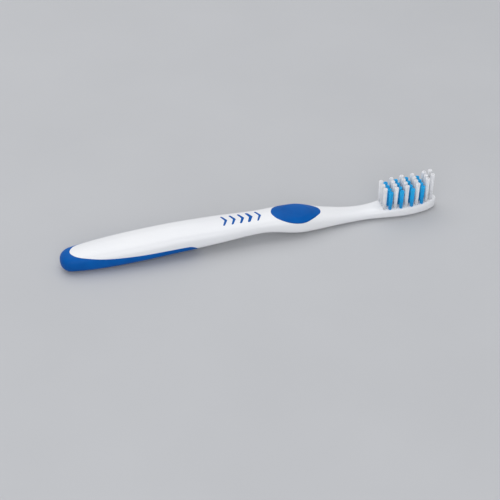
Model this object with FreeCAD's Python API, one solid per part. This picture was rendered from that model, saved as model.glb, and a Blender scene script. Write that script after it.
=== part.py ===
import FreeCAD, Part
import bisect
import math
import os

# A manual toothbrush: a handle, neck and head moulded in one piece, soft grips moulded over it, and
# tufts of bristle folded over flat metal anchors that are driven into blind holes in the head.
# Millimetres. The brush lies on its back: X runs from the tail to the toe of the head, Y across and
# Z up the bristles. The origin is under the middle of the brush, on the surface it lies on.

# Lengths along the brush, each measured on from the one before
TAIL_TO_PALM = 58.0
PALM_TO_WAIST = 37.0
WAIST_TO_THUMB = 19.0
THUMB_TO_NECK = 32.0
NECK_TO_HEAD = 21.0
HEAD_TO_TOE = 17.0

# Widths of the moulding at those places
TAIL_WIDTH = 11.4
PALM_WIDTH = 15.8
WAIST_WIDTH = 13.2
THUMB_WIDTH = 15.5
NECK_WIDTH = 8.4
HEAD_WIDTH = 12.15

# Heights of its top and of its underside above the surface it lies on
TAIL_TOP = 8.4
PALM_TOP = 12.75
WAIST_TOP = 12.0
THUMB_TOP = 11.6
NECK_TOP = 5.7
HEAD_FACE = 5.9
TAIL_LIFT = 0.6
PALM_LIFT = 2.0
WAIST_LIFT = 4.4
THUMB_LIFT = 1.0
NECK_LIFT = 0.2
TAIL_TO_REST = 15.0

# The head is moulded over full and then flat on its face and its back
HEAD_FACE_FULLNESS = 0.8
HEAD_BACK_FULLNESS = 0.12

# How far the rounding of the tail end reaches, and the shape of the rounded ends and sections
TAIL_ROUND = 5.5
TAIL_ROUND_POWER = 2.4
TOE_WIDTH_POWER = 2.0
TOE_HEIGHT_POWER = 6.0
END_FLAT_SHARE = 0.008
HANDLE_POWER = 2.7
NECK_POWER = 2.4
HEAD_POWER = 3.6
HEAD_BACK_POWER = 2.8

# Soft skin moulded over the handle: the grip round the tail and palm, and the pad for the thumb
SKIN_THICKNESS = 1.5
GRIP_LENGTH = 64.4
GRIP_EDGE_HEIGHT = 6.7
GRIP_END_ROUND = 5.5
TONGUE_SETBACK = 4.8
TONGUE_LENGTH = 24.0
TONGUE_SIDE_OVERLAP = 0.3
PAD_BEHIND_THUMB = 13.3
PAD_AHEAD_OF_THUMB = 11.1
PAD_CROWN = 0.12
PAD_REAR_DROP = 3.1
PAD_FRONT_DROP = 1.2

# Arrow marks set into the top of the waist, pointing to the head
CHEVRON_STROKES = (1.4, 1.45, 1.55, 1.9, 1.3)
CHEVRON_END_SHARE = 0.62
CHEVRON_PITCH = 4.1
CHEVRON_SPAN = 6.8
CHEVRON_SWEEP = 1.7
CHEVRON_DEPTH = 1.0
LAST_CHEVRON_PAST_WAIST = 0.5

# Bristle field, counted from the heel row to the toe row
ROW_TUFT_COUNTS = (3, 4, 4, 4, 4, 4, 4, 4, 3, 2)
BLUE_ROWS = (2, 4, 6, 8)
ROW_PITCH = 2.69
TOE_TO_LAST_ROW = 3.4
RIM_TO_WHITE_TUFT = 1.9
RIM_TO_BLUE_TUFT = 1.45
HOLE_DIAMETER = 1.7
HOLE_DEPTH = 3.4
TUFT_CLEARANCE = 0.02
TUFT_SPREAD = 0.3
TUFT_CROWN = 0.45
WHITE_HEIGHT = 12.4
BLUE_HEIGHT = 10.2
HEIGHT_RISE_PER_ROW = 0.08
TIP_HEIGHTS = (14.1, 15.3)

# Flat metal anchor that each tuft is folded over
ANCHOR_THICKNESS = 0.3
ANCHOR_HEIGHT = 1.4
ANCHOR_BITE = 0.15
ANCHOR_TURN = 25.0
FOLD_THICKNESS = 0.5

# How far cutting shapes run past what they cut, and how finely the moulding is drawn
OVERRUN = 6.0
BLANK_SIDES = 24
TAIL_SECTIONS = 4
HANDLE_SECTIONS = 19
TOE_SECTIONS = 6
CORE_SIDES = 12
CORE_SECTIONS = 10
PAD_SECTIONS = 8
TUFT_SIDES = 8
LOFT_DEGREE = 3

# Places along the brush, from the tail end
PALM_X = TAIL_TO_PALM
WAIST_X = PALM_X + PALM_TO_WAIST
THUMB_X = WAIST_X + WAIST_TO_THUMB
NECK_X = THUMB_X + THUMB_TO_NECK
HEAD_X = NECK_X + NECK_TO_HEAD
TOE_X = HEAD_X + HEAD_TO_TOE
PAD_START = THUMB_X - PAD_BEHIND_THUMB
PAD_END = THUMB_X + PAD_AHEAD_OF_THUMB
LAST_ROW_X = TOE_X - TOE_TO_LAST_ROW

# Part-way points of the long spans: share of the span, share of the change in size over it
TAIL_PALM_WIDTH_SHARES = ((0.28, 0.72), (0.45, 0.98), (0.69, 1.1))
PALM_WAIST_WIDTH_SHARES = ((0.45, 0.17),)
THUMB_NECK_WIDTH_SHARES = ((0.26, 0.35), (0.5, 0.66), (0.75, 0.9))
TAIL_PALM_TOP_SHARES = ((0.28, 0.45), (0.62, 0.79))
WAIST_THUMB_TOP_SHARES = ((0.47, -0.5),)
THUMB_NECK_TOP_SHARES = ((0.25, 0.34), (0.5, 0.64), (0.75, 0.885))
THUMB_NECK_LIFT_SHARES = ((0.38, 0.85),)

# Half outline of the thumb pad between its two ends: share of its length, share of half the thumb width
PAD_OUTLINE_SHARES = (
    (0.02, 0.3), (0.1, 0.62), (0.21, 0.8), (0.34, 0.9), (0.52, 0.945),
    (0.65, 0.87), (0.79, 0.66), (0.92, 0.37), (0.98, 0.18),
)


def part_way(start, end, share):
    return start + (end - start) * share


def knots_between(start, end, shares):
    """Points part-way from one (place, size) to the next."""
    return [
        (part_way(start[0], end[0], along), part_way(start[1], end[1], change))
        for along, change in shares
    ]


def smooth(knots):
    """A curve of size along the brush through the knots, level at each peak and dip."""
    places = [place for place, size in knots]
    steps = [b - a for a, b in zip(places, places[1:])]
    slopes = [(q[1] - p[1]) / step for p, q, step in zip(knots, knots[1:], steps)]
    inner = [0 if p * q <= 0 else 2 * p * q / (p + q) for p, q in zip(slopes, slopes[1:])]
    tangents = [slopes[0]] + inner + [0]

    def size_at(x):
        i = min(max(bisect.bisect(places, x) - 1, 0), len(steps) - 1)
        u = min(max((x - places[i]) / steps[i], 0), 1)
        rise = u * u * (3 - 2 * u)
        leave = u * (1 - u) ** 2 * steps[i] * tangents[i]
        arrive = u * u * (u - 1) * steps[i] * tangents[i + 1]
        return part_way(knots[i][1], knots[i + 1][1], rise) + leave + arrive

    return size_at


def width_curve():
    tail, palm, waist = (0, TAIL_WIDTH), (PALM_X, PALM_WIDTH), (WAIST_X, WAIST_WIDTH)
    thumb, neck, head = (THUMB_X, THUMB_WIDTH), (NECK_X, NECK_WIDTH), (HEAD_X, HEAD_WIDTH)
    knots = [tail] + knots_between(tail, palm, TAIL_PALM_WIDTH_SHARES)
    knots += [palm] + knots_between(palm, waist, PALM_WAIST_WIDTH_SHARES)
    knots += [waist, thumb] + knots_between(thumb, neck, THUMB_NECK_WIDTH_SHARES)
    return smooth(knots + [neck, head])


def top_curve():
    tail, palm, waist = (0, TAIL_TOP), (PALM_X, PALM_TOP), (WAIST_X, WAIST_TOP)
    thumb, neck = (THUMB_X, THUMB_TOP), (NECK_X, NECK_TOP)
    knots = [tail] + knots_between(tail, palm, TAIL_PALM_TOP_SHARES)
    knots += [palm, waist] + knots_between(waist, thumb, WAIST_THUMB_TOP_SHARES)
    knots += [thumb] + knots_between(thumb, neck, THUMB_NECK_TOP_SHARES)
    return smooth(knots + [neck, (HEAD_X, HEAD_FACE + HEAD_FACE_FULLNESS)])


def lift_curve():
    thumb, neck = (THUMB_X, THUMB_LIFT), (NECK_X, NECK_LIFT)
    knots = [(0, TAIL_LIFT), (TAIL_TO_REST, 0), (PALM_X, PALM_LIFT), (WAIST_X, WAIST_LIFT), thumb]
    knots += knots_between(thumb, neck, THUMB_NECK_LIFT_SHARES)
    return smooth(knots + [neck, (HEAD_X, -HEAD_BACK_FULLNESS)])


width_at = width_curve()
top_at = top_curve()
lift_at = lift_curve()
HANDLE_POWERS = [(0, HANDLE_POWER), (THUMB_X, HANDLE_POWER), (NECK_X, NECK_POWER)]
upper_power_at = smooth(HANDLE_POWERS + [(HEAD_X, HEAD_POWER)])
lower_power_at = smooth(HANDLE_POWERS + [(HEAD_X, HEAD_BACK_POWER)])


def rounding(share, power):
    """Share of full size left at a share of the way into a rounded end, 0 at its root and 1 at its tip."""
    left = 1 - min(max(share, 0), 1) * (1 - END_FLAT_SHARE)
    return (1 - (1 - left) ** power) ** (1 / power)


def end_shares(x, tail_end):
    """Shares of full width and height that the rounded tail and toe leave at x."""
    tail = rounding(1 - (x - tail_end) / TAIL_ROUND, TAIL_ROUND_POWER)
    toe = (x - HEAD_X) / HEAD_TO_TOE
    return tail * rounding(toe, TOE_WIDTH_POWER), tail * rounding(toe, TOE_HEIGHT_POWER)


def half_width_at(x):
    return width_at(x) / 2 * end_shares(x, 0)[0]


def turns(sides):
    """Angles of the corners of a many-sided outline."""
    return [2 * math.pi * side / sides for side in range(sides)]


def section(x, inset=0, crown=0, sides=BLANK_SIDES):
    """A rounded oblong across the brush at x, drawn in by the inset and raised on top by the crown."""
    top = top_at(x) + crown - inset
    bottom = lift_at(x) + inset
    width_share, height_share = end_shares(x, inset)
    half_width = (width_at(x) / 2 - inset) * width_share
    half_height = (top - bottom) / 2 * height_share
    points = []
    for turn in turns(sides):
        bend = 2 / (upper_power_at(x) if math.sin(turn) > 0 else lower_power_at(x))
        across = math.copysign(abs(math.cos(turn)) ** bend, math.cos(turn))
        upward = math.copysign(abs(math.sin(turn)) ** bend, math.sin(turn))
        points.append(at(x, half_width * across, (top + bottom) / 2 + half_height * upward))
    return Part.makePolygon(points + points[:1])


def at(x, y, z):
    """A point given by its distance from the tail end."""
    return FreeCAD.Vector(x - TOE_X / 2, y, z)


def loft(sections):
    return Part.makeLoft(sections, True, False, False, LOFT_DEGREE)


def steps_between(start, end, count):
    """Evenly spaced places."""
    return [part_way(start, end, step / count) for step in range(count + 1)]


def steps_from_round_end(start, end, count):
    """Places that crowd towards a rounded end at the start."""
    return [part_way(start, end, 1 - math.cos(math.pi / 2 * step / count)) for step in range(count + 1)]


def block(low, high):
    """A box between two corners."""
    size = high - low
    return Part.makeBox(size.x, size.y, size.z, low)


def prism(edges, direction):
    return Part.Face(Part.Wire(edges)).extrude(direction)


def polygon(points):
    return Part.makePolygon(points + points[:1]).Edges


def moulding_blank():
    """The whole outer form of handle, neck and head, before grips and holes are cut."""
    places = steps_from_round_end(0, TAIL_ROUND, TAIL_SECTIONS)
    places += steps_between(TAIL_ROUND, HEAD_X, HANDLE_SECTIONS)[1:-1]
    places += reversed(steps_from_round_end(TOE_X, HEAD_X, TOE_SECTIONS))
    blank = loft([section(x) for x in places])
    side = HEAD_WIDTH + OVERRUN
    above = block(at(NECK_X, -side, HEAD_FACE), at(TOE_X + OVERRUN, side, HEAD_FACE + OVERRUN))
    below = block(at(NECK_X, -side, -OVERRUN), at(TOE_X + OVERRUN, side, 0))
    return blank.cut([above, below])


def skin_core():
    """The hard core under the soft skin: the blank drawn in by the skin's thickness."""
    places = steps_from_round_end(SKIN_THICKNESS, PAD_END + OVERRUN, CORE_SECTIONS)
    return loft([section(x, inset=SKIN_THICKNESS, sides=CORE_SIDES) for x in places])


def tongue_space():
    """The rounded tongue of hard top surface that runs back over the grip, above the grip's edge."""
    root = TONGUE_SETBACK + TONGUE_LENGTH
    half_width = width_at(root) / 2 + TONGUE_SIDE_OVERLAP
    ellipse = Part.Ellipse(at(root, 0, GRIP_EDGE_HEIGHT), TONGUE_LENGTH, half_width)
    end = Part.ArcOfEllipse(ellipse, math.pi / 2, 3 * math.pi / 2).toShape()
    left, right = (at(root, side * half_width, GRIP_EDGE_HEIGHT) for side in (1, -1))
    ahead = FreeCAD.Vector(OVERRUN, 0, 0)
    sides = Part.makePolygon([right, right + ahead, left + ahead, left]).Edges
    return prism([end] + sides, FreeCAD.Vector(0, 0, PALM_TOP))


def grip_space(core):
    """Room for the grip: round the tail end and below its edge along the palm, outside the core."""
    root = TONGUE_SETBACK + TONGUE_LENGTH
    side = PALM_WIDTH
    shoulder = at(GRIP_LENGTH - GRIP_END_ROUND, -side, GRIP_EDGE_HEIGHT)
    front = at(GRIP_LENGTH, -side, GRIP_EDGE_HEIGHT - GRIP_END_ROUND)
    diagonal = GRIP_END_ROUND * math.sin(math.pi / 4)
    bend = at(GRIP_LENGTH - GRIP_END_ROUND + diagonal, -side, GRIP_EDGE_HEIGHT - GRIP_END_ROUND + diagonal)
    rim = [
        shoulder,
        at(root, -side, GRIP_EDGE_HEIGHT),
        at(root, -side, PALM_TOP + OVERRUN),
        at(-OVERRUN, -side, PALM_TOP + OVERRUN),
        at(-OVERRUN, -side, -GRIP_END_ROUND),
        at(GRIP_LENGTH, -side, -GRIP_END_ROUND),
        front,
    ]
    edges = Part.makePolygon(rim).Edges + [Part.Arc(front, bend, shoulder).toShape()]
    return prism(edges, FreeCAD.Vector(0, 2 * side, 0)).cut([core, tongue_space()])


def pad_space(core):
    """Room for the thumb pad: a lens in plan, down to a slanted floor at its flanks, outside the core."""
    length = PAD_END - PAD_START
    floor = min(top_at(PAD_START) - PAD_REAR_DROP, top_at(PAD_END) - PAD_FRONT_DROP)
    flanks = []
    for side in (1, -1):
        flank = Part.BSplineCurve()
        flank.interpolate(
            [
                at(PAD_START + along * length, side * out * THUMB_WIDTH / 2, floor)
                for along, out in ((0, 0),) + PAD_OUTLINE_SHARES + ((1, 0),)
            ]
        )
        flanks.append(flank.toShape())
    lens = prism(flanks, FreeCAD.Vector(0, 0, PALM_TOP))
    side = THUMB_WIDTH
    wedge = polygon(
        [
            at(PAD_START, -side, top_at(PAD_START) - PAD_REAR_DROP),
            at(PAD_END, -side, top_at(PAD_END) - PAD_FRONT_DROP),
            at(PAD_END, -side, PALM_TOP + OVERRUN),
            at(PAD_START, -side, PALM_TOP + OVERRUN),
        ]
    )
    return lens.common(prism(wedge, FreeCAD.Vector(0, 2 * side, 0))).cut(core)


def crowned_pad_blank():
    """The outer form over the thumb, swelling gently above the blank along the pad."""

    def crown_at(x):
        share = 2 * (x - PAD_START) / (PAD_END - PAD_START) - 1
        return PAD_CROWN * (1 - share**2) ** 2

    return loft([section(x, crown=crown_at(x)) for x in steps_between(PAD_START, PAD_END, PAD_SECTIONS)])


def chevron_space(number):
    """Room for one arrow mark: a V in plan, sunk into the top of the waist."""
    to_last = len(CHEVRON_STROKES) - 1 - number
    apex = WAIST_X + LAST_CHEVRON_PAST_WAIST - to_last * CHEVRON_PITCH
    stroke = CHEVRON_STROKES[number]
    end_stroke = stroke * CHEVRON_END_SHARE
    floor = top_at(apex) - CHEVRON_DEPTH
    tail = apex - CHEVRON_SWEEP
    outline = [
        at(apex, 0, floor),
        at(tail, CHEVRON_SPAN / 2, floor),
        at(tail - end_stroke, CHEVRON_SPAN / 2, floor),
        at(apex - stroke, 0, floor),
        at(tail - end_stroke, -CHEVRON_SPAN / 2, floor),
        at(tail, -CHEVRON_SPAN / 2, floor),
    ]
    return prism(polygon(outline), FreeCAD.Vector(0, 0, CHEVRON_DEPTH + OVERRUN))


def tuft_plan():
    """Name, place on the head's face and free height of every tuft, row by row from the heel."""
    plan = []
    rows = len(ROW_TUFT_COUNTS)
    for row, count in enumerate(ROW_TUFT_COUNTS, 1):
        x = LAST_ROW_X - (rows - row) * ROW_PITCH
        blue = row in BLUE_ROWS
        outer = half_width_at(x) - (RIM_TO_BLUE_TUFT if blue else RIM_TO_WHITE_TUFT)
        height = (BLUE_HEIGHT if blue else WHITE_HEIGHT) + (row - 1) * HEIGHT_RISE_PER_ROW
        to_toe = rows - row
        if to_toe < len(TIP_HEIGHTS):
            height = TIP_HEIGHTS[-1 - to_toe]
        colour = "blue" if blue else "white"
        for number in range(count):
            y = part_way(-outer, outer, number / (count - 1))
            plan.append((f"{colour}_tuft_row{row:02d}_{number + 1}", at(x, y, HEAD_FACE), height))
    return plan


def anchor(seat, clearance=0):
    """A flat plate across the hole, a fold of bristle above its floor, biting into the wall at both ends."""
    length = HOLE_DIAMETER + 2 * ANCHOR_BITE
    thickness = ANCHOR_THICKNESS + 2 * clearance
    height = ANCHOR_HEIGHT + 2 * clearance
    corner = FreeCAD.Vector(-length / 2, -thickness / 2, FOLD_THICKNESS - HOLE_DEPTH - clearance)
    plate = Part.makeBox(length, thickness, height, corner)
    plate.rotate(FreeCAD.Vector(), FreeCAD.Vector(0, 0, 1), ANCHOR_TURN)
    return plate.translate(seat)


def ring(seat, radius, up):
    """Corners of a many-sided outline round a tuft, at a height above the head's face."""
    return [
        seat + FreeCAD.Vector(radius * math.cos(turn), radius * math.sin(turn), up)
        for turn in turns(TUFT_SIDES)
    ]


def flat_face(corners):
    return Part.Face(Part.makePolygon(corners + corners[:1]))


def tuft_hole(seat):
    """A blind hole in the head's face, with as many sides as the tuft."""
    floor = flat_face(ring(seat, HOLE_DIAMETER / 2, -HOLE_DEPTH))
    return floor.extrude(FreeCAD.Vector(0, 0, HOLE_DEPTH + OVERRUN))


def tuft(seat, height):
    """A bundle of bristle: straight in its hole, spreading a little above it, with a bevelled top."""
    root = HOLE_DIAMETER / 2 - TUFT_CLEARANCE
    brim = root + TUFT_SPREAD / 2
    levels = [(root, -HOLE_DEPTH), (root, 0), (brim, height - TUFT_CROWN), (brim - TUFT_CROWN, height)]
    rings = [ring(seat, radius, up) for radius, up in levels]
    faces = [flat_face(rings[0]), flat_face(rings[-1])]
    for lower, upper in zip(rings, rings[1:]):
        for side in range(TUFT_SIDES):
            faces.append(flat_face([lower[side - 1], lower[side], upper[side], upper[side - 1]]))
    bundle = Part.Solid(Part.Shell(faces))
    return bundle.cut(anchor(seat, TUFT_CLEARANCE))


def save(name, shape):
    shape.exportStep(os.path.join("parts", name + ".step"))


def main():
    os.makedirs("parts", exist_ok=True)
    blank = moulding_blank()
    core = skin_core()
    grip_room = grip_space(core)
    pad_room = pad_space(core)
    chevron_rooms = [chevron_space(number) for number in range(len(CHEVRON_STROKES))]
    tufts = tuft_plan()
    anchors = [anchor(seat) for name, seat, height in tufts]
    holes = [tuft_hole(seat) for name, seat, height in tufts]

    save("handle_body", blank.cut([grip_room, pad_room] + chevron_rooms).cut(holes + anchors))
    save("back_grip", blank.common(grip_room))
    save("thumb_pad", crowned_pad_blank().common(pad_room))
    for number, room in enumerate(chevron_rooms, 1):
        save(f"chevron_{number}", blank.common(room))
    save("tuft_anchors", Part.makeCompound(anchors))
    for name, seat, height in tufts:
        save(name, tuft(seat, height))


main()
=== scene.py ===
"""A manual toothbrush lying on its back: white moulding, blue soft grips and rows of bristle.

Lengths in the tables are millimetres from the tail end (x), across the brush (y) and above the surface
it lies on (z). They become metres, measured from the middle of the brush, when a piece is put in.
"""

import math

import bpy
import numpy as np
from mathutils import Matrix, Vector


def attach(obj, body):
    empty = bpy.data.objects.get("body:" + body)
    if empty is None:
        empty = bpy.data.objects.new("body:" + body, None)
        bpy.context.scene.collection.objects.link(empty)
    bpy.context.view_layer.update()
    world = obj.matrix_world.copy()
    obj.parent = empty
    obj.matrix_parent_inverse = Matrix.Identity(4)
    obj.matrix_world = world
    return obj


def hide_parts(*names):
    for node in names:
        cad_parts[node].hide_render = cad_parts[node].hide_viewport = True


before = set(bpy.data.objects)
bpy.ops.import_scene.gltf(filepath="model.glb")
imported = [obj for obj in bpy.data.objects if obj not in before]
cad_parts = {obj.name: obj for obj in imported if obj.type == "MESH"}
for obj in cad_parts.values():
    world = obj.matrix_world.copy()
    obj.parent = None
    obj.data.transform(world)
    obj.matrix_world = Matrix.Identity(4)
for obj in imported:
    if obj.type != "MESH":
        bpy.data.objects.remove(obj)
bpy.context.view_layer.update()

MILLIMETRE = 0.001
BRUSH_LENGTH = 184.0

# Size of the moulding along the brush: (place, size)
WIDTHS = (
    (0, 10.8), (16.24, 14.568), (26.1, 15.712), (40.02, 16.24), (58, 15.8), (74.65, 15.358), (95, 13.2),
    (114, 15.5), (122.32, 13.015), (130, 10.814), (138, 9.11), (146, 8.4), (167, 12.15),
)
TOPS = (
    (0, 8.4), (16.24, 10.3575), (35.96, 11.8365), (58, 12.75), (95, 12.0), (103.93, 12.2), (114, 11.6),
    (122, 9.594), (130, 7.824), (138, 6.3785), (146, 5.7), (167, 6.7),
)
UNDERSIDES = ((0, 0.6), (15, 0), (58, 2.0), (95, 4.4), (114, 1.0), (126.16, 0.32), (146, 0.2), (167, -0.12))
SQUARENESS_ABOVE = ((0, 2.7), (114, 2.7), (146, 2.4), (167, 3.6))
SQUARENESS_BELOW = ((0, 2.7), (114, 2.7), (146, 2.4), (167, 2.8))

# Rounded ends, and the flat face and back of the head
TAIL_ROUND = 5.5
TAIL_ROUND_POWER = 2.4
HEAD_START = 167.0
NECK = 146.0
TOE_WIDTH_POWER = 2.0
TOE_HEIGHT_POWER = 6.0
HEAD_FACE = 5.9
FACE_EDGE_ROUND = 0.5
BACK_EDGE_ROUND = 0.25
HEAD_BLEND = 12.0

# Soft grip round the tail and under the palm
TONGUE_TIP = 4.8
GRIP_EDGE_TURNS = (
    (4.8, 0), (6.7, 0.53), (9, 0.73), (13, 0.925), (18, 1.125), (24, 1.29), (31, 1.43), (38, 1.535),
    (47, 1.62), (58.9, 1.701),
)
GRIP_SHOULDER = 58.9
GRIP_SHOULDER_HEIGHT = 6.7
GRIP_END_ROUND = 5.5

# Soft skins: depth of the recess and of the skin's back, and the rolled lip along their edges
SKIN_RECESS = 0.35
SKIN_BACK = 0.33
SKIN_PROUD = 0.05
LIP_DIP = 0.12
GRIP_LIP = 0.4
PAD_LIP = 0.6

# Thumb pad
PAD_START = 100.7
PAD_END = 125.1
PAD_EDGE_TURNS = (
    (100.7, 0), (101.2, 0.3), (102.0, 0.5), (103.3, 0.67), (105.8, 0.875), (108.5, 1.02), (111.4, 1.1),
    (113.6, 1.118), (115.8, 1.065), (117.5, 0.98), (119.3, 0.85), (121.1, 0.71), (123.1, 0.51),
    (124.4, 0.34), (125.1, 0),
)
PAD_CROWN = 0.12
PAD_RING_HEIGHT = 0.13
PAD_RING_SHARE = 0.6
PAD_RING_SOFTNESS = 0.16

# Arrow marks on the waist
ARROW_STROKES = (1.4, 1.45, 1.55, 1.9, 1.3)
ARROW_END_SHARE = 0.7
ARROW_PITCH = 4.1
LAST_ARROW = 95.8
ARROW_HALF_SPAN = 3.4
ARROW_SWEEP = 2.0
ARROW_TIP_ROUND = 0.04
ARROW_ROUND_FROM = 0.86
ARROW_DOME = 0.15
ARROW_DIP = 0.05

# Bristle field, counted from the heel row to the toe row
ROW_TUFTS = (3, 4, 4, 4, 4, 4, 4, 4, 3, 2)
BLUE_ROWS = (2, 4, 6, 8)
ROW_PITCH = 2.69
LAST_ROW = 180.6
RIM_TO_WHITE = 1.9
RIM_TO_BLUE = 1.45
WHITE_HEIGHT = 12.4
BLUE_HEIGHT = 10.2
RISE_PER_ROW = 0.08
TIP_HEIGHTS = {9: 14.1, 10: 15.3}
STRANDS = 44
STRAND_THICKNESS = 0.27
PACKED_MIDDLE = 1.45
TUFT_ROOT_RADIUS = 0.7
TUFT_TOP_RADIUS = 0.98
GOLDEN_ANGLE = 2.399963
PACKING_POWER = 0.38
STRAND_LEAN = 0.06
STRAND_BOW = 0.05
TUFT_CROWN = 0.5
TRIM_UNEVENNESS = 0.12
MIDDLE_DROP = 0.9
ROOT_DEPTH = 0.4

# Levels along a strand, as shares of its length or as the depth of its root, and its girth at each
STRAND_LEVELS = (-ROOT_DEPTH, -ROOT_DEPTH, 0.5, 0.98, 0.994, 1.0)
STRAND_GIRTHS = (0.0, 1.0, 1.0, 1.0, 0.72, 0.0)
STRAND_SIDES = 6

# Turns of the line that parts the upper from the lower half of the white surface where no skin lies
PARTING_MARGIN = 0.02
TAIL_PARTING = 1.1
NECK_PARTING = 0.83
NECK_PARTING_RUN = 26.0

# Gap between rows, and half the gap in turn, where the white surface steps down to a recess
HAIR = 0.004
HAIR_TURN = 0.002

# Rows along each stretch of the brush, and columns round or across each surface
TONGUE_TIP_ROWS = 24
PALM_ROWS = 84
GRIP_END_ROWS = 28
WAIST_ROWS = 56
PAD_ROW_COUNT = 64
NECK_ROWS = 34
HEAD_ROOT_ROWS = 36
TOE_ROWS = 44
UPPER_COLUMNS = 36
LOWER_COLUMNS = 44
GRIP_COLUMNS = 30
GRIP_BACK_COLUMNS = 33
PAD_COLUMNS = 56
PAD_BACK_COLUMNS = 21
ARROW_ROWS = 64
ARROW_COLUMNS = 16
ARROW_BACK_COLUMNS = 5
GRIP_FRONT_STEPS = 4001

# Edges that meet at more than this many degrees stay sharp
SHARP_EDGE = 50

# Evening out of the size curves
STATION_STEP = 0.1
STATION_MARGIN = 20.0
BELL_WIDTH = 2.0
BELL_STEPS = 80

# Colours by amount: (amount, colour)
WHITE_TONES = ((0.3, (0.84, 0.845, 0.86)), (0.7, (0.86, 0.863, 0.87)))
BLUE_TONES = ((0.3, (0.0, 0.085, 0.35)), (0.55, (0.0, 0.100, 0.40)), (0.75, (0.0, 0.118, 0.45)))
WIRE_TONES = ((0.3, (0.60, 0.50, 0.30)), (0.7, (0.74, 0.64, 0.42)))
FLOOR_TONES = ((0.3, (0.53, 0.535, 0.545)), (0.7, (0.55, 0.555, 0.565)))
# Nylon colours up a strand from root to tip: painted shade darkens the roots, painted light makes the tips
# paler
WHITE_NYLON_TONES_AND_ROOT_SHADE = ((0.0, (0.96, 0.965, 0.98)), (0.55, (0.97, 0.975, 0.985)), (1.0, (0.98, 0.98, 0.985)))
BLUE_NYLON_TONES_AND_ROOT_SHADE = ((0.0, (0.0, 0.42, 0.90)), (0.55, (0.0, 0.48, 0.95)), (1.0, (0.02, 0.56, 0.97)))
UNSHADED = (1, 1, 1)
WHITE_STRAND_TONES = ((0.0, (0.93, 0.935, 0.96)), (0.6, UNSHADED), (1.0, UNSHADED))
BLUE_STRAND_TONES = ((0.0, (0.8, 0.85, 0.92)), (0.6, UNSHADED), (1.0, UNSHADED))

# Studio
FLOOR_HALF_SIDE = 5.0
FLOOR_DROP = 0.00004
MIDDLE = (0.0, 0.0, 0.0)
BOX_SIZE = 1.1
FILL_COLOUR = (0.93, 0.95, 1.0, 1)
FILL_STRENGTH = 0.5
BACKDROP_COLOUR = (0.86, 0.87, 0.88, 1)
EYE = (-0.1239338, -0.4578829, 0.3982003)
SIGHT_LINE = (0.2006, 0.7507, -0.6293)
LENS = 93.6
SENSOR = 36.0
LENS_SHIFT = -0.074
NEAREST_SEEN = 0.01


def smooth_low(a, b, reach):
    """The lower of a and b, with the corner between them rounded over the reach."""
    reach = np.maximum(reach, 1e-9)
    share = np.clip(0.5 + 0.5 * (b - a) / reach, 0, 1)
    return b + (a - b) * share - reach * share * (1 - share)


def smooth_high(a, b, reach):
    """The higher of a and b, with the corner between them rounded over the reach."""
    return -smooth_low(-a, -b, reach)


def ease(share):
    """Goes from 0 to 1 with a level start and end: three times the square less twice the cube."""
    share = np.clip(share, 0, 1)
    return share * share * (3 - 2 * share)


def through(knots, x, last_level=True):
    """A curve through (place, size) knots at the places x.

    Between two knots it is a cubic that takes each knot's slope, which is the harmonic mean of the slopes
    of the spans beside it, or level at a peak or dip. Before the first knot it runs straight on.
    """
    places, sizes = np.array(knots, dtype=float).T
    steps = np.diff(places)
    slopes = np.diff(sizes) / steps
    before, after = slopes[:-1], slopes[1:]
    turning = before * after <= 0
    inner = np.where(turning, 0, 2 * before * after / np.where(turning, 1, before + after))
    tangents = np.concatenate([slopes[:1], inner, [0 if last_level else slopes[-1]]])
    span = np.clip(np.searchsorted(places, x, side="right") - 1, 0, len(steps) - 1)
    u = np.clip((x - places[span]) / steps[span], 0, 1)
    curve = sizes[span] + (sizes[span + 1] - sizes[span]) * u * u * (3 - 2 * u)
    curve += steps[span] * (u * (1 - u) ** 2 * tangents[span] + u * u * (u - 1) * tangents[span + 1])
    return curve + slopes[0] * np.minimum(x - places[0], 0)


def size_curve(knots):
    """A size along the brush: the curve through its knots, averaged under a bell.

    The average takes out the kinks in curvature at the knots, so that a highlight runs on without a break.
    """
    stations = np.arange(-STATION_MARGIN, BRUSH_LENGTH + STATION_MARGIN, STATION_STEP)
    reach = np.arange(-BELL_STEPS, BELL_STEPS + 1) * STATION_STEP
    bell = np.exp(-0.5 * (reach / BELL_WIDTH) ** 2)
    raw = np.pad(through(knots, stations), BELL_STEPS, mode="edge")
    even = np.convolve(raw, bell / bell.sum(), mode="valid")
    return lambda x: np.interp(x, stations, even)


def round_ended(knots, x):
    """An edge's turn through its knots: a curve through their squares, so that it ends round at 0."""
    squares = [(place, turn**2) for place, turn in knots]
    return np.sqrt(np.maximum(through(squares, x, last_level=False), 0))


width_at = size_curve(WIDTHS)
top_at = size_curve(TOPS)
underside_at = size_curve(UNDERSIDES)
squareness_above = size_curve(SQUARENESS_ABOVE)
squareness_below = size_curve(SQUARENESS_BELOW)


def rounding(share, power):
    """Share of full size left part of the way into a rounded end: (1 - share^power)^(1/power)."""
    return (1 - np.clip(share, 0, 1) ** power) ** (1 / power)


def half_sizes(x, inset=0.0, crown=0.0):
    """Half width, half height and middle height of the moulding's section at x, drawn in by the inset."""
    tail = rounding(1 - x / TAIL_ROUND, TAIL_ROUND_POWER)
    toe = (x - HEAD_START) / (BRUSH_LENGTH - HEAD_START)
    top = top_at(x) + crown - inset
    bottom = underside_at(x) + inset
    half_width = (width_at(x) / 2 - inset) * tail * rounding(toe, TOE_WIDTH_POWER)
    half_height = (top - bottom) / 2 * tail * rounding(toe, TOE_HEIGHT_POWER)
    return half_width, half_height, (top + bottom) / 2


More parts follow.
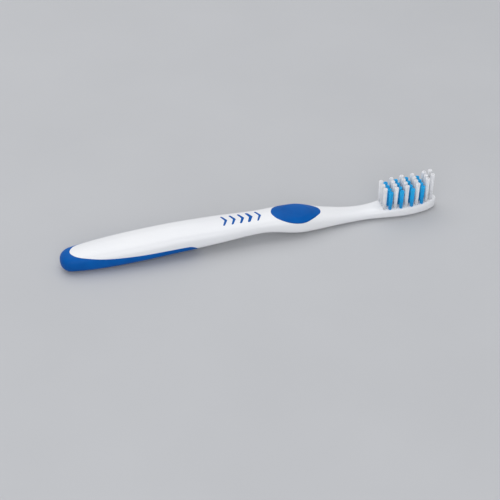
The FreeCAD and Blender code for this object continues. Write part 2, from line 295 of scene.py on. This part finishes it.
def moulding(x, turn, inset=0.0, crown=0.0):
    """Points of the moulding's outer form at a place x and a turn from straight up, towards +y.

    A section is a rounded oblong, |y / half width|^p + |z / half height|^p = 1. A ray at the turn meets it
    at the distance (|sin|^p + |cos|^p)^(-1/p). Towards the tail end the inset also moves the section along
    the brush. From the neck on, the head's face and back are cut flat with rounded edges.
    """
    x, turn, inset, crown = np.broadcast_arrays(x, turn, inset, crown)
    half_width, half_height, middle = half_sizes(x, inset, crown)
    side, up = np.sin(turn), np.cos(turn)
    p = np.where(up > 0, squareness_above(x), squareness_below(x))
    reach = (np.abs(side) ** p + np.abs(up) ** p) ** (-1 / p)
    y = half_width * reach * side
    z = middle + half_height * reach * up
    head = ease((x - NECK) / HEAD_BLEND)
    flat = smooth_low(z, HEAD_FACE, FACE_EDGE_ROUND * head)
    flat = smooth_high(flat, 0.0, BACK_EDGE_ROUND * head)
    z = np.where(x >= NECK, flat, z)
    along = x + inset * np.clip(1 - x / TAIL_ROUND, 0, 1)
    return np.stack([along, y, z], axis=-1)


def turn_at_width(x, y):
    """Turn from straight up at which the upper half of the moulding is y from its middle line."""
    half_width, _, _ = half_sizes(x)
    share = np.clip(y / half_width, 0, 1)
    p = squareness_above(x)
    return np.arctan2(share, (1 - share**p) ** (1 / p))


def turn_at_height(x, z):
    """Turn from straight up at which the moulding's flank is at the height z."""
    _, half_height, middle = half_sizes(x)
    share = np.clip((z - middle) / half_height, -1, 1)
    p = np.where(share > 0, squareness_above(x), squareness_below(x))
    return np.arctan2((1 - np.abs(share) ** p) ** (1 / p), share)


def grip_end_height(x):
    """Height of the grip's edge round its front end: a quarter circle down from its shoulder."""
    past = np.clip(x - GRIP_SHOULDER, 0, GRIP_END_ROUND)
    return GRIP_SHOULDER_HEIGHT - GRIP_END_ROUND + np.sqrt(GRIP_END_ROUND**2 - past**2)


def grip_front():
    """Place where the rounded front edge of the grip runs out on the underside."""
    x = np.linspace(GRIP_SHOULDER, GRIP_SHOULDER + GRIP_END_ROUND, GRIP_FRONT_STEPS)
    return float(x[np.argmax(grip_end_height(x) <= underside_at(x))])


GRIP_FRONT = grip_front()


def grip_edge_turn(x):
    """Turn where white gives way to the grip: round the tongue's tip, down the palm, round the front."""
    along = round_ended(GRIP_EDGE_TURNS, x)
    return np.where(x < GRIP_SHOULDER, along, turn_at_height(x, grip_end_height(x)))


def pad_edge_turn(x):
    """Turn at which the thumb pad gives way to white."""
    return round_ended(PAD_EDGE_TURNS, x)


def body_edge_turn(x):
    """Turn that parts the upper from the lower white surface, along the edges of grip and pad."""
    tail = PARTING_MARGIN + TAIL_PARTING * (1 - x / TONGUE_TIP)
    over_waist = ease((x - GRIP_FRONT) / (PAD_START - GRIP_FRONT))
    waist = math.pi - PARTING_MARGIN + (2 * PARTING_MARGIN - math.pi) * over_waist
    neck = PARTING_MARGIN + NECK_PARTING * ease((x - PAD_END) / NECK_PARTING_RUN)
    turn = np.select(
        [x < TONGUE_TIP, x < GRIP_FRONT, x <= PAD_START, x < PAD_END],
        [tail, grip_edge_turn(x), waist, pad_edge_turn(x)],
        neck,
    )
    return np.clip(turn, PARTING_MARGIN, math.pi - PARTING_MARGIN)


def crowd(start, end, count, ends):
    """Places from start to end, close together at the named ends."""
    share = np.linspace(0, 1, count + 1)
    ways = {
        "both": 0.5 - 0.5 * np.cos(math.pi * share),
        "start": 1 - np.cos(math.pi / 2 * share),
        "end": np.sin(math.pi / 2 * share),
        "none": share,
    }
    return start + (end - start) * ways[ends]


GRIP_ROWS = np.concatenate([
    crowd(0, TONGUE_TIP - HAIR, TONGUE_TIP_ROWS, "both"),
    crowd(TONGUE_TIP, GRIP_SHOULDER, PALM_ROWS, "start"),
    crowd(GRIP_SHOULDER, GRIP_FRONT - HAIR, GRIP_END_ROWS, "end")[1:],
])
PAD_ROWS = crowd(PAD_START + HAIR, PAD_END - HAIR, PAD_ROW_COUNT, "both")
BODY_ROWS = np.concatenate([
    GRIP_ROWS,
    crowd(GRIP_FRONT, PAD_START, WAIST_ROWS, "both"),
    PAD_ROWS,
    crowd(PAD_END, NECK, NECK_ROWS, "start"),
    crowd(NECK, HEAD_START, HEAD_ROOT_ROWS, "none")[1:],
    crowd(HEAD_START, BRUSH_LENGTH, TOE_ROWS, "end")[1:],
])


def quads_and_triangles(faces):
    """Parts four-cornered faces: one with a side of no length, as round a pole, is a triangle."""
    doubled = faces == np.roll(faces, -1, axis=1)
    sides = 4 - doubled.sum(axis=1)
    return faces[sides == 4], faces[sides == 3][~doubled[sides == 3]].reshape(-1, 3)


def loose_faces(index, keep=None):
    """Faces between neighbouring rows and columns of a grid of point numbers, wound to face outwards."""
    faces = np.stack([index[:-1, :-1], index[1:, :-1], index[1:, 1:], index[:-1, 1:]], axis=-1)
    return quads_and_triangles(faces[keep] if keep is not None else faces.reshape(-1, 4))


def put_in(name, points, faces, node, finish, marks=None, sharp=None):
    """Makes the mesh from millimetre points and its faces, drops unused points, and rides on the brush."""
    quads, triangles = faces
    used, renumbered = np.unique(np.concatenate([quads.ravel(), triangles.ravel()]), return_inverse=True)
    quads = renumbered[: quads.size].reshape(-1, 4)
    triangles = renumbered[quads.size :].reshape(-1, 3)
    places = (points.reshape(-1, 3)[used] - (BRUSH_LENGTH / 2, 0, 0)) * MILLIMETRE
    mesh = bpy.data.meshes.new(name)
    mesh.from_pydata(places.tolist(), [], quads.tolist() + triangles.tolist())
    mesh.shade_smooth()
    if sharp:
        mesh.set_sharp_from_angle(angle=math.radians(sharp))
    for mark, values in (marks or {}).items():
        layer = mesh.attributes.new(mark, "FLOAT", "POINT")
        layer.data.foreach_set("value", np.ascontiguousarray(values.ravel()[used], dtype=np.float32))
    mesh.materials.append(finish)
    piece = bpy.data.objects.new(name, mesh)
    bpy.context.scene.collection.objects.link(piece)
    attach(piece, "root")
    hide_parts(node)


def closed_skin(outer, inner, joined=0):
    """Points and faces of a skin whose rows each run along its outer face and back along its inner one.

    The first and last rows shrink to a pole on each face. In the first joined rows the two edges meet, and
    there the skin is a closed sleeve with no edge walls.
    """
    rows, across = outer.shape[:2]
    points = np.concatenate([outer, inner[:, ::-1]], axis=1)
    index = np.arange(points.shape[0] * points.shape[1]).reshape(rows, -1)
    index[:joined, across - 1] = index[:joined, 0]
    index[:joined, across] = index[:joined, -1]
    index[[0, -1], :across] = index[[0, -1], :1]
    index[[0, -1], across:] = index[[0, -1], -1:]
    keep = np.ones((rows - 1, points.shape[1]), dtype=bool)
    if joined:
        keep[: joined - 1, [across - 1, -1]] = False
    return points, loose_faces(np.concatenate([index, index[:, :1]], axis=1), keep)


def lip(distance, width):
    """Height of a soft skin above the white: a quarter round that rises from its edge over the width."""
    share = np.clip(distance / width, 0, 1)
    return (SKIN_PROUD + LIP_DIP) * np.sqrt(1 - (1 - share) ** 2) - LIP_DIP


def white_body(finish):
    """Handle, neck and head in one moulding: the outer form, stepped down where the soft skins lie."""
    x = BODY_ROWS[:, None]
    edge = body_edge_turn(BODY_ROWS)[:, None]
    upper = crowd(0, 1, UPPER_COLUMNS, "end")[None, :]
    lower = crowd(0, 1, LOWER_COLUMNS, "both")[None, :]
    above = (edge - HAIR_TURN) * upper
    below = edge + HAIR_TURN + (math.pi - edge - HAIR_TURN) * lower
    half = np.concatenate([above, below], axis=1)
    under_pad = (x > PAD_START) & (x < PAD_END)
    top_depth = SKIN_RECESS * ((x < TONGUE_TIP) | under_pad) * np.ones_like(upper)
    low_depth = SKIN_RECESS * (x < GRIP_FRONT) * np.ones_like(lower)
    depth = np.concatenate([top_depth, low_depth], axis=1)
    turn = np.concatenate([half, 2 * math.pi - half[:, -2:0:-1]], axis=1)
    depth = np.concatenate([depth, depth[:, -2:0:-1]], axis=1)
    points = moulding(x, turn, depth)
    index = np.arange(turn.size).reshape(turn.shape)
    index[[0, -1]] = index[[0, -1], :1]
    faces = loose_faces(np.concatenate([index, index[:, :1]], axis=1))
    put_in("white_moulding", points, faces, "handle_body", finish, sharp=SHARP_EDGE)


def from_edge(x, turn, rows, edge):
    """Distance on the surface from the nearest stretch of an edge, which lies at a turn for each row.

    The surface is unrolled at each point's own radius. On each straight stretch the nearest place is the
    foot of the perpendicular, or an end of the stretch.
    """
    x, turn = np.broadcast_arrays(x, turn)
    radius = width_at(x)[..., None] / 2
    run, rise = np.diff(rows), radius * np.diff(edge)
    along, across = x[..., None] - rows[:-1], radius * (turn[..., None] - edge[:-1])
    foot = np.clip((along * run + across * rise) / (run**2 + rise**2), 0, 1)
    return np.sqrt(np.min((along - foot * run) ** 2 + (across - foot * rise) ** 2, axis=-1))


def back_grip(finish):
    """Soft skin round the tail and under the palm, standing just proud with rolled edges."""
    rows = np.append(GRIP_ROWS, GRIP_FRONT)
    x = rows[:, None]
    edge = np.where(rows <= TONGUE_TIP, 0, grip_edge_turn(rows))[:, None]
    edge[-1] = math.pi
    one_side = crowd(0, 1, GRIP_COLUMNS, "start")
    outward = np.concatenate([one_side, 2 - one_side[-2::-1]])[None, :]
    inward = np.linspace(0, 2, GRIP_BACK_COLUMNS)[None, :]
    turn = edge + (math.pi - edge) * outward
    folded = math.pi - np.abs(turn - math.pi)
    edged = rows >= TONGUE_TIP
    distance = from_edge(x, folded, rows[edged], edge[edged, 0])
    outer = moulding(x, turn, -lip(distance, GRIP_LIP))
    inner = moulding(x, edge + (math.pi - edge) * inward, SKIN_BACK)
    points, faces = closed_skin(outer, inner, joined=int(np.sum(rows <= TONGUE_TIP)))
    put_in("soft_back_grip", points, faces, "back_grip", finish, sharp=SHARP_EDGE)


def thumb_pad(finish):
    """Soft lens on the neck's root, swelling along its length, with a low oval ring round its middle."""
    rows = np.concatenate([[PAD_START], PAD_ROWS, [PAD_END]])
    x = rows[:, None]
    edge = pad_edge_turn(rows)[:, None]
    edge[[0, -1]] = 0
    across = crowd(-1, 1, PAD_COLUMNS, "both")[None, :]
    share = 2 * (x - PAD_START) / (PAD_END - PAD_START) - 1
    crown = PAD_CROWN * (1 - share**2) ** 2
    distance = from_edge(x, np.abs(edge * across), rows, edge[:, 0])
    oval = np.sqrt((share / PAD_RING_SHARE) ** 2 + (across / PAD_RING_SHARE) ** 2)
    ring = PAD_RING_HEIGHT * np.exp(-(((oval - 1) / PAD_RING_SOFTNESS) ** 2))
    outer = moulding(x, edge * across, -lip(distance, PAD_LIP) - ring, crown)
    inner = moulding(x, edge * np.linspace(-1, 1, PAD_BACK_COLUMNS)[None, :], SKIN_BACK)
    points, faces = closed_skin(outer, inner)
    put_in("soft_thumb_pad", points, faces, "thumb_pad", finish, sharp=SHARP_EDGE)


def arrow_mark(number, finish):
    """One arrow mark: a stroke swept back and thinning on both sides of its tip, domed, round-ended."""
    stroke = ARROW_STROKES[number]
    tip = LAST_ARROW - (len(ARROW_STROKES) - 1 - number) * ARROW_PITCH
    out = crowd(1, -1, ARROW_ROWS, "both")[:, None]
    v = crowd(-1, 1, ARROW_COLUMNS, "both")[None, :]
    past = np.clip((np.abs(out) - ARROW_ROUND_FROM) / (1 - ARROW_ROUND_FROM), 0, 1)
    end = np.sqrt(1 - past**2)
    swept = np.sqrt(out**2 + ARROW_TIP_ROUND**2) - ARROW_TIP_ROUND
    half = stroke / 2 * (1 - (1 - ARROW_END_SHARE) * swept)
    middle = tip - half - ARROW_SWEEP * swept

    def on_top(raised, across):
        along = middle + half * end * across
        y = ARROW_HALF_SPAN * out * np.ones_like(along)
        return moulding(along, np.sign(y) * turn_at_width(along, np.abs(y)), -raised)

    outer = on_top(ARROW_DOME * end * np.sqrt(1 - v**4) - ARROW_DIP, v)
    inner = on_top(-SKIN_BACK, np.linspace(-1, 1, ARROW_BACK_COLUMNS)[None, :])
    points, faces = closed_skin(outer, inner)
    put_in(
        f"soft_arrow_{number + 1}", points, faces, f"chevron_{number + 1}", finish,
        sharp=SHARP_EDGE,
    )


def tuft(name, node, x, y, height, finish, seed):
    """A tuft of straight nylon strands that spread a little from a round hole to a crowned, trimmed top.

    The strands' roots lie on a spiral, each a golden angle on from the last. Their distance from the middle
    goes as a power of the count, which packs the outside closest. A strand is a six-sided tube along
    a slightly bowed line with a rounded tip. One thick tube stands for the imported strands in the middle.
    """
    chance = np.random.default_rng(seed)
    count = np.arange(STRANDS)
    out = ((count + 0.5) / STRANDS) ** PACKING_POWER
    angle = count * GOLDEN_ANGLE + chance.uniform(0, 2 * math.pi)
    root = np.stack([np.cos(angle), np.sin(angle)], axis=1) * out[:, None]
    lean = chance.normal(0, STRAND_LEAN, (STRANDS, 2))
    bow = chance.normal(0, STRAND_BOW, (STRANDS, 2))
    length = height - TUFT_CROWN * out**2 - np.abs(chance.normal(0, TRIM_UNEVENNESS, STRANDS))
    thickness = np.full(STRANDS, STRAND_THICKNESS)
    root[0], lean[0], bow[0], length[0], thickness[0] = 0, 0, 0, height - MIDDLE_DROP, PACKED_MIDDLE
    levels = np.array(STRAND_LEVELS)
    girth = np.array(STRAND_GIRTHS)
    share = np.clip(levels, 0, 1)[None, :]
    up = np.where(levels[None, :] < 0, levels[None, :], share * length[:, None])
    radius = TUFT_ROOT_RADIUS + (TUFT_TOP_RADIUS - TUFT_ROOT_RADIUS) * share
    line = root[:, None, :] * radius[..., None] + lean[:, None, :] * share[..., None]
    line = line + bow[:, None, :] * (4 * share * (1 - share))[..., None]
    face = np.arange(STRAND_SIDES) * 2 * math.pi / STRAND_SIDES
    around = np.stack([np.cos(face), np.sin(face)], axis=1) / 2
    flat = line[:, :, None, :] + (thickness[:, None] * girth)[..., None, None] * around[None, None, :, :]
    points = np.concatenate([flat, np.broadcast_to(up[..., None, None], flat.shape[:3] + (1,))], axis=-1)
    points = points + (x, y, HEAD_FACE)
    grid = (STRANDS, len(levels), STRAND_SIDES)
    index = np.arange(math.prod(grid)).reshape(grid)
    index[:, [0, -1]] = index[:, [0, -1], :1]
    index = np.concatenate([index, index[:, :, :1]], axis=2)
    faces = np.stack([index[:, :-1, :-1], index[:, :-1, 1:], index[:, 1:, 1:], index[:, 1:, :-1]], axis=-1)
    faces = quads_and_triangles(faces.reshape(-1, 4))
    strand = np.broadcast_to(chance.uniform(0, 1, STRANDS)[:, None, None], grid)
    rise = np.broadcast_to(share[..., None], grid)
    put_in(name, points, faces, node, finish, {"strand": strand, "rise": rise})


def bristle_field(white_finish, blue_finish):
    """Rows of tufts across the head's face, evenly spaced from rim to rim, white and blue by turns."""
    rows = len(ROW_TUFTS)
    for row, tufts in enumerate(ROW_TUFTS, 1):
        x = LAST_ROW - (rows - row) * ROW_PITCH
        blue = row in BLUE_ROWS
        outer = float(half_sizes(np.array(x))[0]) - (RIM_TO_BLUE if blue else RIM_TO_WHITE)
        height = (BLUE_HEIGHT if blue else WHITE_HEIGHT) + (row - 1) * RISE_PER_ROW
        height = TIP_HEIGHTS.get(row, height)
        colour, finish = ("blue", blue_finish) if blue else ("white", white_finish)
        for number, y in enumerate(np.linspace(-outer, outer, tufts), 1):
            place = f"row{row:02d}_{number}"
            tuft(
                f"{colour}_bristles_{place}", f"{colour}_tuft_{place}", x, y, height,
                finish, seed=100 * row + number,
            )


def new_finish(name, **even):
    """A material with one Principled shader. Values that are even all over are set on its own sockets."""
    finish = bpy.data.materials.new(name)
    finish.use_nodes = True
    shader = finish.node_tree.nodes["Principled BSDF"]
    for socket, value in even.items():
        shader.inputs[socket.replace("_", " ")].default_value = value
    return finish, finish.node_tree, shader


def grain(tree, scale, detail, roughness=0.5):
    """Cloudy noise on the brush's own coordinates, as many grains to the metre as the scale."""
    place = tree.nodes.new("ShaderNodeTexCoord")
    noise = tree.nodes.new("ShaderNodeTexNoise")
    noise.inputs["Scale"].default_value = scale
    noise.inputs["Detail"].default_value = detail
    noise.inputs["Roughness"].default_value = roughness
    tree.links.new(place.outputs["Object"], noise.inputs["Vector"])
    return noise.outputs["Fac"]


def tones(tree, amount, stops):
    """Colours that follow an amount: each stop is a place from 0 to 1 and a colour."""
    ramp = tree.nodes.new("ShaderNodeValToRGB")
    while len(ramp.color_ramp.elements) < len(stops):
        ramp.color_ramp.elements.new(0.5)
    for element, (place, colour) in zip(ramp.color_ramp.elements, stops):
        element.position = place
        element.color = (*colour, 1)
    tree.links.new(amount, ramp.inputs["Fac"])
    return ramp.outputs["Color"]


def spread(tree, amount, low, high):
    """An amount between 0 and 1 carried over to the range from low to high."""
    node = tree.nodes.new("ShaderNodeMapRange")
    node.inputs["To Min"].default_value = low
    node.inputs["To Max"].default_value = high
    tree.links.new(amount, node.inputs["Value"])
    return node.outputs["Result"]


def relief(tree, shader, amount, depth, strength):
    """Fine relief in the surface, as deep as the depth in metres."""
    bump = tree.nodes.new("ShaderNodeBump")
    bump.inputs["Strength"].default_value = strength
    bump.inputs["Distance"].default_value = depth
    tree.links.new(amount, bump.inputs["Height"])
    tree.links.new(bump.outputs["Normal"], shader.inputs["Normal"])


def gloss_white_plastic():
    """Polished white moulding: nearly even tone, a faint waviness and a little unevenness in its gloss."""
    finish, tree, shader = new_finish("gloss_white_plastic", IOR=1.49)
    tree.links.new(tones(tree, grain(tree, scale=45, detail=3), WHITE_TONES), shader.inputs["Base Color"])
    roughness = spread(tree, grain(tree, scale=700, detail=3), low=0.16, high=0.26)
    tree.links.new(roughness, shader.inputs["Roughness"])
    relief(tree, shader, grain(tree, scale=320, detail=2), depth=0.00002, strength=0.35)
    return finish


def satin_blue_rubber():
    """Soft blue skin: a fine eroded grain from the mould and slow changes of tone."""
    finish, tree, shader = new_finish("satin_blue_rubber", IOR=1.5, Specular_IOR_Level=0.1)
    tree.links.new(tones(tree, grain(tree, scale=90, detail=3), BLUE_TONES), shader.inputs["Base Color"])
    roughness = spread(tree, grain(tree, scale=1500, detail=3), low=0.34, high=0.5)
    tree.links.new(roughness, shader.inputs["Roughness"])
    relief(tree, shader, grain(tree, scale=5200, detail=3, roughness=0.6), depth=0.00002, strength=0.5)
    return finish


def nylon(name, tones_and_painted_root_shade, strand_tones):
    """Nylon strands: each a little lighter or darker than the next, with painted shade darker towards the
    root and painted light paler towards its rounded tip.
    """
    finish, tree, shader = new_finish(
        name, IOR=1.53, Roughness=0.4, Subsurface_Weight=0.15, Subsurface_Radius=(1, 1, 1),
        Subsurface_Scale=0.0003,
    )
    strand = tree.nodes.new("ShaderNodeAttribute")
    strand.attribute_name = "strand"
    rise = tree.nodes.new("ShaderNodeAttribute")
    rise.attribute_name = "rise"
    # Colour up the strand from the rise: painted shade towards the root, painted light towards the tip
    along = tones(tree, rise.outputs["Fac"], tones_and_painted_root_shade)
    shade = tones(tree, strand.outputs["Fac"], strand_tones)
    mix = tree.nodes.new("ShaderNodeMix")
    mix.data_type = "RGBA"
    mix.blend_type = "MULTIPLY"
    mix.inputs["Factor"].default_value = 1.0
    tree.links.new(along, mix.inputs["A"])
    tree.links.new(shade, mix.inputs["B"])
    tree.links.new(mix.outputs["Result"], shader.inputs["Base Color"])
    relief(tree, shader, grain(tree, scale=9000, detail=2), depth=0.00001, strength=0.3)
    return finish


def anchor_wire():
    """Flat wire of nickel silver: rolled, with a fine uneven sheen."""
    finish, tree, shader = new_finish("anchor_wire", Metallic=1.0)
    tree.links.new(tones(tree, grain(tree, scale=2500, detail=3), WIRE_TONES), shader.inputs["Base Color"])
    roughness = spread(tree, grain(tree, scale=6000, detail=2), low=0.25, high=0.45)
    tree.links.new(roughness, shader.inputs["Roughness"])
    return finish


def studio_floor():
    """A wide, pale, matte floor, faintly mottled so that it isn't dead flat in tone."""
    finish, tree, shader = new_finish("pale_floor", Roughness=0.9)
    tree.links.new(tones(tree, grain(tree, scale=14, detail=3), FLOOR_TONES), shader.inputs["Base Color"])
    mesh = bpy.data.meshes.new("pale_floor")
    signs = ((-1, -1), (1, -1), (1, 1), (-1, 1))
    corners = [(x * FLOOR_HALF_SIDE, y * FLOOR_HALF_SIDE, -FLOOR_DROP) for x, y in signs]
    mesh.from_pydata(corners, [], [(0, 1, 2, 3)])
    mesh.materials.append(finish)
    floor = bpy.data.objects.new("pale_floor", mesh)
    bpy.context.scene.collection.objects.link(floor)


def soft_light(name, place, aim, size, power, colour=(1, 1, 1)):
    """A square soft box of that size, turned to what it lights."""
    lamp = bpy.data.lights.new(name, "AREA")
    lamp.shape = "SQUARE"
    lamp.size = size
    lamp.energy = power
    lamp.color = colour
    box = bpy.data.objects.new(name, lamp)
    box.location = place
    box.rotation_euler = (Vector(aim) - Vector(place)).to_track_quat("-Z", "Y").to_euler()
    bpy.context.scene.collection.objects.link(box)


def studio_air():
    """Even pale light from all round, seen as a pale backdrop by the camera and in gloss."""
    world = bpy.data.worlds.new("studio_air")
    bpy.context.scene.world = world
    world.use_nodes = True
    tree = world.node_tree
    fill = tree.nodes["Background"]
    fill.inputs["Color"].default_value = FILL_COLOUR
    fill.inputs["Strength"].default_value = FILL_STRENGTH
    seen = tree.nodes.new("ShaderNodeBackground")
    seen.inputs["Color"].default_value = BACKDROP_COLOUR
    seen.inputs["Strength"].default_value = 1.0
    path = tree.nodes.new("ShaderNodeLightPath")
    camera_or_gloss = tree.nodes.new("ShaderNodeMath")
    camera_or_gloss.operation = "MAXIMUM"
    tree.links.new(path.outputs["Is Camera Ray"], camera_or_gloss.inputs[0])
    tree.links.new(path.outputs["Is Glossy Ray"], camera_or_gloss.inputs[1])
    any_seen = tree.nodes.new("ShaderNodeMath")
    any_seen.operation = "MAXIMUM"
    tree.links.new(camera_or_gloss.outputs[0], any_seen.inputs[0])
    tree.links.new(path.outputs["Is Transmission Ray"], any_seen.inputs[1])
    choice = tree.nodes.new("ShaderNodeMixShader")
    tree.links.new(any_seen.outputs[0], choice.inputs["Fac"])
    tree.links.new(fill.outputs["Background"], choice.inputs[1])
    tree.links.new(seen.outputs["Background"], choice.inputs[2])
    tree.links.new(choice.outputs["Shader"], tree.nodes["World Output"].inputs["Surface"])


def camera():
    """Looks down on the brush from beside its tail, framed as a square picture."""
    lens = bpy.data.cameras.new("camera")
    lens.lens = LENS
    lens.sensor_width = SENSOR
    lens.shift_y = LENS_SHIFT
    lens.clip_start = NEAREST_SEEN
    eye = bpy.data.objects.new("camera", lens)
    eye.location = EYE
    eye.rotation_euler = Vector(SIGHT_LINE).to_track_quat("-Z", "Y").to_euler()
    bpy.context.scene.collection.objects.link(eye)
    bpy.context.scene.camera = eye


white = gloss_white_plastic()
blue = satin_blue_rubber()
white_body(white)
back_grip(blue)
thumb_pad(blue)
for arrow in range(len(ARROW_STROKES)):
    arrow_mark(arrow, blue)
bristle_field(
    nylon("white_nylon", WHITE_NYLON_TONES_AND_ROOT_SHADE, WHITE_STRAND_TONES),
    nylon("blue_nylon", BLUE_NYLON_TONES_AND_ROOT_SHADE, BLUE_STRAND_TONES),
)
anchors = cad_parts["tuft_anchors"]
anchors.data.materials.clear()
anchors.data.materials.append(anchor_wire())

studio_floor()
studio_air()
soft_light("key_box", (-0.12, 0.30, 0.90), MIDDLE, BOX_SIZE, power=4.6)
soft_light("front_fill", (-0.25, -0.95, 0.55), MIDDLE, BOX_SIZE, power=5.2, colour=(0.97, 0.98, 1.0))
camera()
bpy.context.scene.view_settings.view_transform = "Standard"
